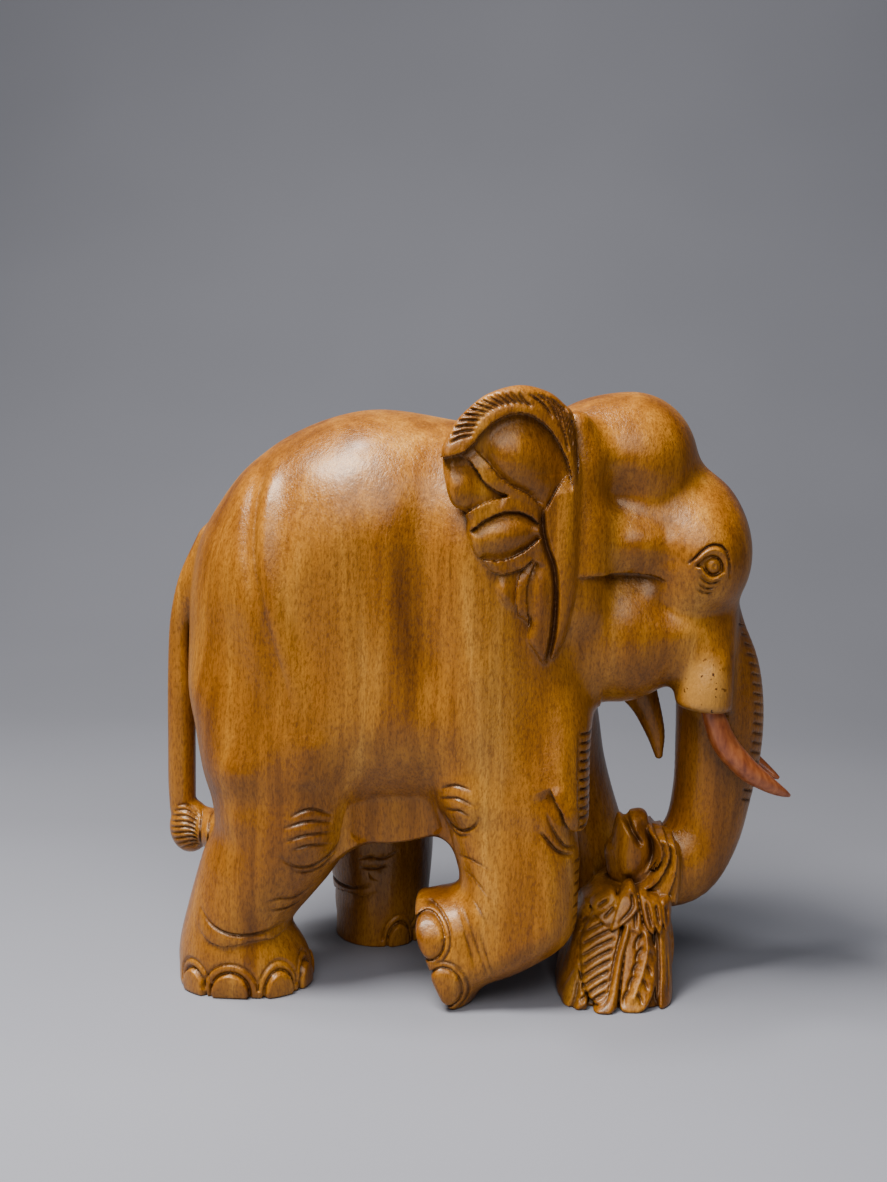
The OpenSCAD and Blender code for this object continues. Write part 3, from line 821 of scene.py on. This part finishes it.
def leaf_bunch(block):
    """The bunch of leaves that the trunk holds: a solid core, long leaves, a ruff and end leaves."""
    low, high = [36, -62, -4], [92, 16, 46]

    def core(x, y, z):
        return BUNCH_SLOPE * np.maximum(outside_bunch(x, y, z) + 2.5, z - BUNCH_TOP)
    block.add((low, high, core), 1.0)
    relief = leaf_cuts(block)
    # The long leaves, from the lowest layer to the highest
    for outline, lift in (
            ([(49, 36), (46.2, 30), (43, 16), (40.2, 6), (40.2, 0), (50, -1), (52, 20), (53, 35)], 0.6),
            ([(80.5, 29), (84.5, 28.5), (87, 22), (88.2, 8), (87.4, 0.5), (84, -1), (81.4, 1), (80, 8)], 1.8),
            ([(69, 34), (76.5, 30.5), (79, 25.5), (80.2, 19), (80.2, 11), (79, 5.5), (75.5, 0.8),
              (70.5, -0.8), (65.5, 0.8), (65.2, 8), (66.5, 18), (67.5, 28)], 3.0),
            ([(64, 37), (55, 36.4), (50, 27.5), (48.6, 22), (49.0, 16), (49.6, 10), (51.8, 5.4), (55, 2.6),
              (60, 1.5), (64, 1), (65, 10), (66, 24)], 3.6),
            ([(47.4, 14.5), (43, 7.5), (40.8, 2.5), (41.6, -0.4), (45, -1.4), (49, -1.2), (52, 1), (52.2, 4),
              (50, 9)], 4.2)):
        blade(block, outline, lift, relief)
    # The smooth folded leaf across the middle
    blade(block, [(69.5, 34), (67, 31), (63.8, 22), (61.6, 13), (59.6, 5.5), (55.6, 2.2), (54, 0), (57, -1.6),
                  (60.8, -1.4), (63.4, 1), (64.6, 5), (65.6, 11), (67.2, 20), (70, 29)], 5.6,
          Relief(block), rounding=2.6)
    # Ruff of short pointed leaves under the collar, each with a groove down its middle
    for outline, lift, fold in (
            ([(82.3, 40), (87, 39.5), (87.6, 33), (86.2, 26.6), (83.4, 30)], 3.4, [(84.6, 38), (85.6, 30)]),
            ([(77.5, 41), (82.6, 39.5), (83.6, 33), (82.6, 26.8), (79.2, 31)], 4.2, [(80.2, 39), (82, 30)]),
            ([(73, 43), (78.6, 41), (80.3, 34), (79.6, 27.4), (76, 30), (74.2, 35)], 4.8,
             [(76.2, 40), (78.8, 30)]),
            ([(72, 41), (66, 34), (67, 29.6), (71, 28.2), (74.4, 27.4), (74.4, 36)], 4.0,
             [(71.8, 38), (71.6, 30)]),
            ([(60.5, 43), (53.2, 37.4), (54.6, 35), (60, 36), (64, 41.5)], 3.8, [(60.5, 40), (56, 37.2)]),
            ([(64, 41.5), (60.5, 38), (54.8, 34.5), (57, 31.6), (60.5, 30), (64.5, 34)], 4.8,
             [(63, 38), (58.6, 33.4)]),
            ([(70, 46.5), (73.3, 40), (72.4, 35.5), (61.4, 28.2), (62.2, 35), (65.4, 42.5)], 5.8,
             [(69.8, 43.5), (70.2, 38), (64.5, 32)])):
        mark = Relief(block)
        mark.groove(fold, 1.8, 1.8, taper=0.2)
        blade(block, outline, lift, mark)
        relief.cut_shade = np.maximum(relief.cut_shade, mark.cut_shade)
    # Leaves at the front and back of the bunch, seen edge on from the sides
    for root_angle, tip_angle, root_z, half in ((-22, -26, 33, 5), (2, 0, 32, 7), (28, 28, 33, 6),
                                                (150, 152, 32, 6), (176, 178, 30, 6), (204, 206, 28, 6)):
        root, out_a = bunch_point(root_angle, root_z)
        tip, out_b = bunch_point(tip_angle, -1.5)
        leaf(block, root, tip + out_b * (1.5, 1.5, 0), out_a + out_b, half)
    return relief


def carve():
    """The whole carving, from its masses to its finest cuts."""
    block = Block([-140, -70, -4], [132, 70, 259], VOXEL)
    torso(block)
    hind_legs(block)
    fore_legs(block)
    head(block)
    trunk(block)
    tail(block)
    block.near, block.far = Relief(block), Relief(block)
    # The far legs stand further forward than the near ones by these mm
    for relief, hind_dx, fore_dx in ((block.near, 0, 0), (block.far, 31, 16)):
        flank_cuts(relief)
        head_cuts(relief)
        hind_leg_cuts(relief, hind_dx)
        fore_leg_cuts(relief, fore_dx)
        tuft_cuts(relief)
    lifted_leg_cuts(block.near)
    press(block, block.near, -1)
    press(block, block.far, 1)
    nails(block, (-94, NEAR_LEG_Y), (27.5, 25),
          [(-131, 6.5), (-94, 8), (-50, 6.5), (-14, 6), (24, 6), (60, 6)])
    far_nails = [(130, 6.5), (92, 7.5), (50, 6.5), (14, 6), (-24, 6)]
    nails(block, (-43, FAR_LEG_Y), (23, 24), far_nails + [(-60, 6)])
    nails(block, (61, FAR_LEG_Y + 1), (25, 24), far_nails)
    ears(block)
    # The painted shade in the cuts of the leaves, collar and trunk tip goes onto the right side's map
    for relief in (leaf_bunch(block), collar(block), trunk_tip(block)):
        block.near.cut_shade = np.maximum(block.near.cut_shade, relief.cut_shade)
    # Flat soles, their edges slightly rounded
    ground = block.axes[2][None, None, :]
    block.field = -smooth_min(-block.field, ground + 0 * block.field[:1, :1, :], 1.2)
    return block


def sample(block, points):
    """The block's field at points in drawn mm."""
    place = (np.asarray(points, np.float32) - [axis[0] for axis in block.axes]) / block.voxel
    limit = np.array(block.field.shape) - 2
    first = np.clip(np.floor(place).astype(int), 0, limit)
    part = np.clip(place - first, 0, 1)
    total = 0
    for i in (0, 1):
        for j in (0, 1):
            for k in (0, 1):
                share = [part[:, a] if bit else 1 - part[:, a] for a, bit in enumerate((i, j, k))]
                value = block.field[first[:, 0] + i, first[:, 1] + j, first[:, 2] + k]
                total = total + share[0] * share[1] * share[2] * value
    return total


def cut_shade_map(block, points):
    """How dark the painted shade of the side-view cuts lies at each point."""
    i = np.clip(np.searchsorted(block.axes[0], points[:, 0]), 0, len(block.axes[0]) - 1)
    k = np.clip(np.searchsorted(block.axes[2], points[:, 2]), 0, len(block.axes[2]) - 1)
    side = np.abs(points[:, 1])
    lift = side - ear_plane(points[:, 0])
    on_ear = (lift > -1) & (points[:, 2] > 140) & (points[:, 0] < 47)
    body = np.where(points[:, 1] < 0, block.near.cut_shade[i, k], block.far.cut_shade[i, k])
    body = body * np.clip((side - 2) / 6, 0, 1)
    return np.where(on_ear, block.ear_relief.cut_shade[i, k], body)


# ---------------------------------------------------------------- from the block to a mesh

def surface(block):
    """A quad mesh of the block's surface: one corner for each cell that the surface crosses."""
    field, shape = block.field, block.field.shape
    inside = field < 0
    corners = [(i, j, k) for i in (0, 1) for j in (0, 1) for k in (0, 1)]
    cells = tuple(n - 1 for n in shape)
    count = np.zeros(cells, np.uint8)
    for i, j, k in corners:
        count += inside[i:i + cells[0], j:j + cells[1], k:k + cells[2]]
    active = np.flatnonzero((count > 0) & (count < 8))
    where = np.stack(np.unravel_index(active, cells), axis=1)
    values = np.stack([field[where[:, 0] + i, where[:, 1] + j, where[:, 2] + k]
                       for i, j, k in corners], axis=1)
    total = np.zeros((len(active), 3), np.float32)
    crossings = np.zeros(len(active), np.float32)
    for a, first in enumerate(corners):
        for b, second in enumerate(corners):
            step = np.subtract(second, first)
            if b <= a or abs(step).sum() != 1:
                continue
            low, high = values[:, a], values[:, b]
            crossed = (low < 0) != (high < 0)
            t = np.where(crossed, low / np.where(crossed, low - high, 1), 0)
            total += crossed[:, None] * (np.array(first) + t[:, None] * step)
            crossings += crossed
    origin = np.array([axis[0] for axis in block.axes], np.float32)
    points = origin + block.voxel * (where + total / crossings[:, None])
    number = np.full(cells, -1, np.int32)
    number.ravel()[active] = np.arange(len(active))
    quads = []
    for axis in range(3):
        near = [slice(1, n - 1) for n in shape]
        near[axis] = slice(0, shape[axis] - 1)
        far = list(near)
        far[axis] = slice(1, shape[axis])
        start, end = inside[tuple(near)], inside[tuple(far)]
        edges = np.stack(np.nonzero(start != end), axis=1)
        outward = start[tuple(edges.T)]
        edges = edges + [0 if k == axis else 1 for k in range(3)]
        u, v = [(axis + k) % 3 for k in (1, 2)]
        ring = []
        for du, dv in ((0, 0), (-1, 0), (-1, -1), (0, -1)):
            cell = edges.copy()
            cell[:, u] += du
            cell[:, v] += dv
            ring.append(number[tuple(cell.T)])
        ring = np.stack(ring, axis=1)
        ring[~outward] = ring[~outward][:, ::-1]
        quads.append(ring)
    return points, np.concatenate(quads)


def mesh_object(name, points, faces):
    """A Blender object from drawn-mm points and quads."""
    mesh = bpy.data.meshes.new(name)
    mesh.vertices.add(len(points))
    mesh.vertices.foreach_set("co", to_world(points).astype(np.float32).ravel())
    mesh.loops.add(faces.size)
    mesh.loops.foreach_set("vertex_index", faces.astype(np.int32).ravel())
    mesh.polygons.add(len(faces))
    mesh.polygons.foreach_set("loop_start", np.arange(0, faces.size, faces.shape[1], dtype=np.int32))
    mesh.update(calc_edges=True)
    mesh.validate()
    piece = bpy.data.objects.new(name, mesh)
    bpy.context.collection.objects.link(piece)
    return piece


def apply_modifiers(piece):
    """Make a piece's modifiers part of its mesh, without any faulty faces they leave."""
    graph = bpy.context.evaluated_depsgraph_get()
    mesh = bpy.data.meshes.new_from_object(piece.evaluated_get(graph))
    mesh.validate()
    piece.modifiers.clear()
    piece.data = mesh


def point_values(mesh, name, values):
    """Store one number per vertex for the shader."""
    layer = mesh.attributes.new(name, "FLOAT", "POINT")
    layer.data.foreach_set("value", np.asarray(values, np.float32))


def mark_surface(piece, block):
    """Per-vertex painted shade in the hollows and along the cuts, and the pale sapwood patch on the tusk
    sheaths.
    """
    mesh = piece.data
    count = len(mesh.vertices)
    points, normals = np.empty(count * 3, np.float32), np.empty(count * 3, np.float32)
    mesh.vertices.foreach_get("co", points)
    mesh.vertex_normals.foreach_get("vector", normals)
    points = points.reshape(-1, 3) / MM + (DRAWN_CENTRE_X, 0, 0)
    normals = normals.reshape(-1, 3)
    # Painted shade: how closed in each vertex is, read from the field a little way out along its normal, like
    # ambient occlusion
    occlusion_shade = np.zeros(count)
    for reach, weight in ((1.2, 0.55), (3.0, 0.4), (9.0, 0.12)):
        free = sample(block, points + normals * reach) / reach
        occlusion_shade += weight * np.clip(1 - free, 0, 1.5)
    point_values(mesh, "occlusion_shade", np.clip(occlusion_shade, 0, 1))
    # Painted shade along the carved cuts
    point_values(mesh, "cut_shade", cut_shade_map(block, points))
    away = np.sqrt(((points[:, 0] - 97) / 10.5) ** 2 + ((points[:, 2] - 131) / 15) ** 2)
    point_values(mesh, "sapwood", np.clip((1.1 - away) * 2.2, 0, 1) * (np.abs(points[:, 1]) > 14))


# ---------------------------------------------------------------- materials

class Nodes:
    """Short calls for building a node material."""

    def __init__(self, name):
        self.material = bpy.data.materials.new(name)
        self.material.use_nodes = True
        self.tree = self.material.node_tree
        self.shader = self.tree.nodes["Principled BSDF"]

    def new(self, kind, **values):
        node = self.tree.nodes.new(kind)
        for key, value in values.items():
            if hasattr(node, key):
                setattr(node, key, value)
            else:
                node.inputs[key.replace("_", " ")].default_value = value
        return node

    def link(self, output, target):
        self.tree.links.new(output, target)

    def noise(self, stretch, detail=3.0, roughness=0.5, distortion=0.0):
        """Noise over the object, stretched by so many features per metre along x, y and z."""
        place = self.new("ShaderNodeTexCoord").outputs["Object"]
        mapping = self.new("ShaderNodeMapping")
        mapping.inputs["Scale"].default_value = stretch
        self.link(place, mapping.inputs["Vector"])
        node = self.new("ShaderNodeTexNoise", Scale=1.0, Detail=detail, Roughness=roughness,
                        Distortion=distortion)
        self.link(mapping.outputs["Vector"], node.inputs["Vector"])
        return node.outputs["Fac"]

    def ramp(self, value, stops):
        node = self.new("ShaderNodeValToRGB")
        elements = node.color_ramp.elements
        while len(elements) < len(stops):
            elements.new(0.5)
        for element, (place, colour) in zip(elements, stops):
            element.position = place
            element.color = (*colour, 1) if len(colour) == 3 else colour
        self.link(value, node.inputs["Fac"])
        return node.outputs["Color"]

    def grey(self, value, low, high, from_low=0.0, from_high=1.0):
        """Map a value from one range to another, clamped."""
        node = self.new("ShaderNodeMapRange")
        for key, number in (("From Min", from_low), ("From Max", from_high),
                            ("To Min", low), ("To Max", high)):
            node.inputs[key].default_value = number
        self.link(value, node.inputs["Value"])
        return node.outputs["Result"]

    def mix(self, kind, factor, first, second):
        node = self.new("ShaderNodeMixRGB", blend_type=kind)
        for source, key in ((factor, "Fac"), (first, "Color1"), (second, "Color2")):
            if hasattr(source, "is_linked"):
                self.link(source, node.inputs[key])
            elif key == "Fac":
                node.inputs[key].default_value = source
            else:
                node.inputs[key].default_value = (*source, 1)
        return node.outputs["Color"]

    def math(self, operation, first, second):
        node = self.new("ShaderNodeMath", operation=operation)
        for source, socket in ((first, node.inputs[0]), (second, node.inputs[1])):
            if hasattr(source, "is_linked"):
                self.link(source, socket)
            else:
                socket.default_value = source
        return node.outputs["Value"]

    def darken(self, factor, colour, value, dark_at, dark, full_at):
        """Multiply a colour by a ramp over value, from a dark colour up to plain white."""
        shade = self.ramp(value, [(dark_at, dark), (full_at, (1.0, 1.0, 1.0))])
        return self.mix("MULTIPLY", factor, colour, shade)

    def attribute(self, name):
        return self.new("ShaderNodeAttribute", attribute_name=name).outputs["Fac"]

    def bump(self, height, distance, strength=1.0):
        node = self.new("ShaderNodeBump", Strength=strength, Distance=distance)
        self.link(height, node.inputs["Height"])
        self.link(node.outputs["Normal"], self.shader.inputs["Normal"])


def wood_material():
    """Varnished honey-brown wood: grain along z, painted shade in the hollows and along the cuts, pale
    sapwood.
    """
    wood = Nodes("carved wood")
    ribbon = wood.noise((52, 52, 6), detail=3, roughness=0.55, distortion=0.5)
    colour = wood.ramp(ribbon, [(0.30, (0.175, 0.056, 0.003)), (0.46, (0.30, 0.108, 0.006)),
                                (0.58, (0.40, 0.160, 0.012)), (0.74, (0.56, 0.265, 0.040))])
    streak = wood.noise((430, 430, 16), detail=4, roughness=0.6)
    colour = wood.darken(0.75, colour, streak, 0.32, (0.62, 0.56, 0.46), 0.62)
    fleck = wood.noise((1300, 1300, 420), detail=2, roughness=0.6)
    colour = wood.darken(0.75, colour, fleck, 0.34, (0.50, 0.42, 0.32), 0.54)
    blotch = wood.noise((26, 26, 20), detail=4, roughness=0.6)
    colour = wood.darken(0.15, colour, blotch, 0.36, (0.62, 0.50, 0.40), 0.60)
    pits = wood.noise((520, 520, 520), detail=1)
    pale = wood.mix("MIX", 0.6, colour, (0.47, 0.24, 0.055))
    sapwood = wood.darken(1.0, pale, pits, 0.29, (0.12, 0.06, 0.02), 0.33)
    colour = wood.mix("MIX", wood.attribute("sapwood"), colour, sapwood)
    # Painted shade: vertices closed in by nearby wood are darkened towards near black-brown
    occlusion_shade = wood.grey(wood.attribute("occlusion_shade"), 0.0, 0.88, 0.22, 0.85)
    colour = wood.mix("MIX", occlusion_shade, colour, (0.045, 0.014, 0.004))
    # Painted shade: the cuts darkened towards near black-brown
    cut_shade = wood.grey(wood.attribute("cut_shade"), 0.0, 0.72)
    colour = wood.mix("MIX", cut_shade, colour, (0.05, 0.017, 0.005))
    wood.link(colour, wood.shader.inputs["Base Color"])
    wood.link(wood.grey(blotch, 0.30, 0.46, 0.3, 0.7), wood.shader.inputs["Roughness"])
    wood.shader.inputs["Specular IOR Level"].default_value = 0.42
    wood.shader.inputs["Specular Tint"].default_value = (1.0, 0.82, 0.58, 1)
    wood.shader.inputs["Coat Weight"].default_value = 0.24
    wood.shader.inputs["Coat Roughness"].default_value = 0.24
    ripple = wood.noise((330, 330, 190), detail=4, roughness=0.7)
    grit = wood.noise((1100, 1100, 600), detail=2, roughness=0.6)
    height = wood.math("ADD", wood.math("ADD", ripple, wood.math("MULTIPLY", streak, 0.4)),
                       wood.math("MULTIPLY", grit, 0.35))
    wood.bump(height, 0.00045, 0.9)
    return wood.material


def tusk_material():
    """Satin reddish-brown wood with fine streaks along the tusk."""
    wood = Nodes("tusk wood")
    streak = wood.noise((300, 600, 90), detail=4, roughness=0.6)
    colour = wood.ramp(streak, [(0.30, (0.20, 0.042, 0.010)), (0.50, (0.36, 0.095, 0.023)),
                                (0.70, (0.50, 0.17, 0.050))])
    wood.link(colour, wood.shader.inputs["Base Color"])
    wood.shader.inputs["Roughness"].default_value = 0.38
    wood.shader.inputs["Coat Weight"].default_value = 0.2
    wood.shader.inputs["Coat Roughness"].default_value = 0.2
    wood.bump(streak, 0.0002, 0.5)
    return wood.material


# ---------------------------------------------------------------- the pieces

def finish_piece(piece, material, node):
    """Smooth shading, the material, the body the piece rides on, and hiding the CAD part that it replaces."""
    piece.data.polygons.foreach_set("use_smooth", [True] * len(piece.data.polygons))
    piece.data.materials.append(material)
    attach(piece, "root")
    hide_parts(node)


def make_carving():
    """The carved body as one closed mesh, thinned to the triangle limit."""
    block = carve()
    points, faces = surface(block)
    piece = mesh_object("elephant_carving", points, faces)
    thin = piece.modifiers.new("thin", "DECIMATE")
    thin.ratio = min(1.0, TRIANGLES / (2 * len(faces)))
    apply_modifiers(piece)
    mark_surface(piece, block)
    finish_piece(piece, wood_material(), "carved_body")


def make_tusk(name, side, material):
    """A curved peg that tapers to a blunt point; stations are x, y, z and radius."""
    stations = [(101.5, 25, 123.5, 4.3), (101.5, 25, 121, 4.5), (103, 25, 116.5, 4.9),
                (105.6, 24.8, 110, 5.2), (108.9, 24.5, 104.6, 5.3), (113.3, 23.9, 99.6, 5.1),
                (118.6, 22.8, 94.5, 4.7), (124.5, 21, 90.3, 3.9), (129.8, 18.8, 86.8, 2.9),
                (134.3, 16.5, 84.2, 1.7), (136.7, 15.3, 82.9, 0.7)]
    path = curve(stations, steps=5)
    count = 32
    around = np.arange(count) * (2 * math.pi / count)
    along = np.gradient(path[:, :3], axis=0)
    along /= np.linalg.norm(along, axis=1, keepdims=True)
    across = np.cross(along, (0, 1, 0))
    across /= np.linalg.norm(across, axis=1, keepdims=True)
    aside = np.cross(along, across)
    cos, sin = np.cos(around)[None, :, None], np.sin(around)[None, :, None]
    rings = path[:, None, :3] + path[:, None, 3:] * (cos * across[:, None] + sin * aside[:, None])
    rings[:, :, 1] *= side
    i, k = np.meshgrid(np.arange(len(path) - 1), np.arange(count), indexing="ij")
    here, beyond, after = i * count, (i + 1) * count, (k + 1) % count
    faces = np.stack([here + k, here + after, beyond + after, beyond + k], axis=-1)
    faces = faces.reshape(-1, 4)[:, ::-side]
    piece = mesh_object(name + "_carved", rings.reshape(-1, 3), faces)
    mesh = bmesh.new()
    mesh.from_mesh(piece.data)
    bmesh.ops.holes_fill(mesh, edges=[edge for edge in mesh.edges if edge.is_boundary])
    bmesh.ops.recalc_face_normals(mesh, faces=mesh.faces)
    mesh.to_mesh(piece.data)
    mesh.free()
    finish_piece(piece, material, name)


# ---------------------------------------------------------------- camera, lights and floor

def camera():
    """The photo's viewpoint, its place in drawn mm."""
    yaw, pitch, roll = math.radians(3.5), math.radians(7.25), math.radians(0.9)
    ahead = Vector((-math.sin(yaw) * math.cos(pitch), math.cos(yaw) * math.cos(pitch), -math.sin(pitch)))
    right = Vector((math.cos(yaw), math.sin(yaw), 0))
    up = right.cross(ahead)
    tilted_right = right * math.cos(roll) + up * math.sin(roll)
    tilted_up = up * math.cos(roll) - right * math.sin(roll)
    place = Vector(to_world((28.3, -680, 252)))
    data = bpy.data.cameras.new("camera")
    data.sensor_fit = "VERTICAL"
    data.sensor_height = 36
    data.lens = 48.1
    data.clip_start = 0.01
    view = bpy.data.objects.new("camera", data)
    bpy.context.collection.objects.link(view)
    turn = Matrix((tilted_right, tilted_up, -ahead)).transposed().to_4x4()
    view.matrix_world = Matrix.Translation(place) @ turn
    bpy.context.scene.camera = view


def area_light(name, place, target, size, power, colour):
    """A rectangular lamp at a place in metres, facing a target, with its power in watts."""
    data = bpy.data.lights.new(name, "AREA")
    data.shape = "RECTANGLE"
    data.size, data.size_y = size
    data.energy = power
    data.color = colour
    lamp = bpy.data.objects.new(name, data)
    bpy.context.collection.objects.link(lamp)
    lamp.location = place
    aim = Vector(target) - Vector(place)
    lamp.rotation_euler = aim.to_track_quat("-Z", "Y").to_euler()


def lights():
    """A dim cool room, a key light at the upper left, a small top light and a broad front one."""
    world = bpy.data.worlds.new("studio")
    world.use_nodes = True
    world.node_tree.nodes["Background"].inputs["Color"].default_value = (0.60, 0.66, 0.76, 1)
    world.node_tree.nodes["Background"].inputs["Strength"].default_value = 0.10
    bpy.context.scene.world = world
    area_light("key", (-0.42, -0.26, 1.12), (0, 0, 0.10), (0.46, 0.40), 30, (1, 0.95, 0.88))
    area_light("top", (-0.24, 0.06, 1.05), (-0.02, 0, 0.2), (0.12, 0.08), 4, (1, 0.97, 0.93))
    area_light("front", (-0.05, -1.15, 1.20), (0.02, 0, 0.12), (1.2, 0.9), 16, (1, 0.96, 0.92))


def floor():
    """A grey studio sweep: flat under the carving, curving up into a wall behind it, with shade painted into
    it behind the carving.
    """
    half_width, front, bend_start, bend, top = 4.0, -3.0, 0.5, 0.9, 4.0
    turns = np.radians(np.linspace(0, 90, 25))
    profile = [(front, 0.0)]
    profile += [(bend_start + bend * math.sin(t), bend - bend * math.cos(t)) for t in turns]
    profile += [(bend_start + bend, top)]
    points = [(x, y, z) for y, z in profile for x in (-half_width, half_width)]
    faces = [(2 * i, 2 * i + 1, 2 * i + 3, 2 * i + 2) for i in range(len(profile) - 1)]
    mesh = bpy.data.meshes.new("studio_sweep")
    mesh.from_pydata(points, [], faces)
    mesh.polygons.foreach_set("use_smooth", [True] * len(faces))
    sweep_piece = bpy.data.objects.new("studio_sweep", mesh)
    bpy.context.collection.objects.link(sweep_piece)
    paper = Nodes("studio paper")
    tone = paper.noise((3, 3, 3), detail=2)
    colour = paper.ramp(tone, [(0.3, (0.235, 0.247, 0.292)), (0.7, (0.255, 0.267, 0.315))])
    # Painted shade: the paper's colour gets darker behind the carving and lighter again up the wall, as the
    # light falls off; y from -0.5 to 1.5 m runs over the ramp
    split = paper.new("ShaderNodeSeparateXYZ")
    paper.link(paper.new("ShaderNodeTexCoord").outputs["Object"], split.inputs[0])
    depth = paper.grey(split.outputs["Y"], 0.0, 1.0, -0.5, 1.5)
    fade = paper.ramp(depth, [(level_y, (level,) * 3) for level_y, level in
                              ((0.175, 1.0), (0.35, 0.69), (0.60, 0.70), (0.95, 0.84))])
    paper.link(paper.mix("MULTIPLY", 1.0, colour, fade), paper.shader.inputs["Base Color"])
    paper.shader.inputs["Roughness"].default_value = 0.7
    sweep_piece.data.materials.append(paper.material)


camera()
make_carving()
red_wood = tusk_material()
make_tusk("right_tusk", -1, red_wood)
make_tusk("left_tusk", 1, red_wood)
lights()
floor()
